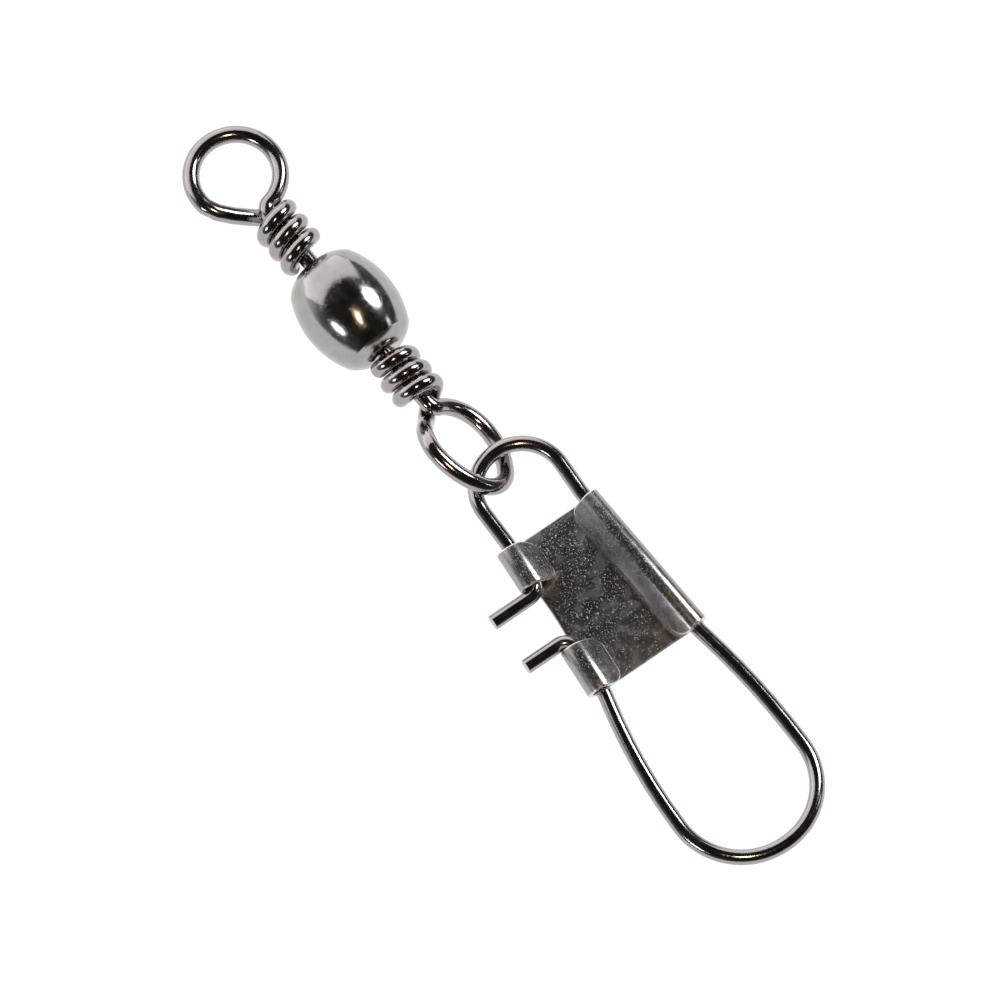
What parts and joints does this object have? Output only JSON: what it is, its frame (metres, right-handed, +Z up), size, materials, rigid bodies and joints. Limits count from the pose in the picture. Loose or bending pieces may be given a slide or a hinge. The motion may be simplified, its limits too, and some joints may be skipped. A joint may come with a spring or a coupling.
{
  "type": "fishing snap swivel",
  "caption": "Fishing snap swivel: a hollow barrel whose wrapped wire eyes turn at its ends, with a spring-wire snap and folded latch plate hung in the lower eye.",
  "frame": {"origin": "on the surface that the part lies on, below the middle of its box", "axes": "+X from the line's eye towards the snap's large loop, +Z up, away from the surface"},
  "size_m": [0.0472, 0.0088, 0.0051],
  "materials": {
    "barrel_nickel": "black nickel plate",
    "wire_nickel": "black nickel plate",
    "plate_nickel": "satin black nickel plate"
  },
  "bodies": {
    "barrel": {"barrel": "barrel_nickel"},
    "upper": {"upper_eye": "wire_nickel"},
    "lower": {"lower_eye": "wire_nickel"},
    "snap": {"snap_wire": "wire_nickel", "snap_plate": "plate_nickel"}
  },
  "joints": [
    {"name": "upper_swivel", "type": "hinge", "parent": "barrel", "child": "upper", "pos_m": [-0.01187, 0.0005, 0.00259], "axis": [0.9968, 0, -0.0802], "continuous": true},
    {"name": "lower_swivel", "type": "hinge", "parent": "barrel", "child": "lower", "pos_m": [-0.01187, 0.0005, 0.00259], "axis": [0.9968, 0, -0.0802], "continuous": true},
    {"name": "snap_swing", "type": "hinge", "parent": "lower", "child": "snap", "pos_m": [-0.00177, 0.0005, 0.00134], "axis": [-0.1909, 0.7646, 0.6156], "range_deg": [-165, 130]}
  ]
}
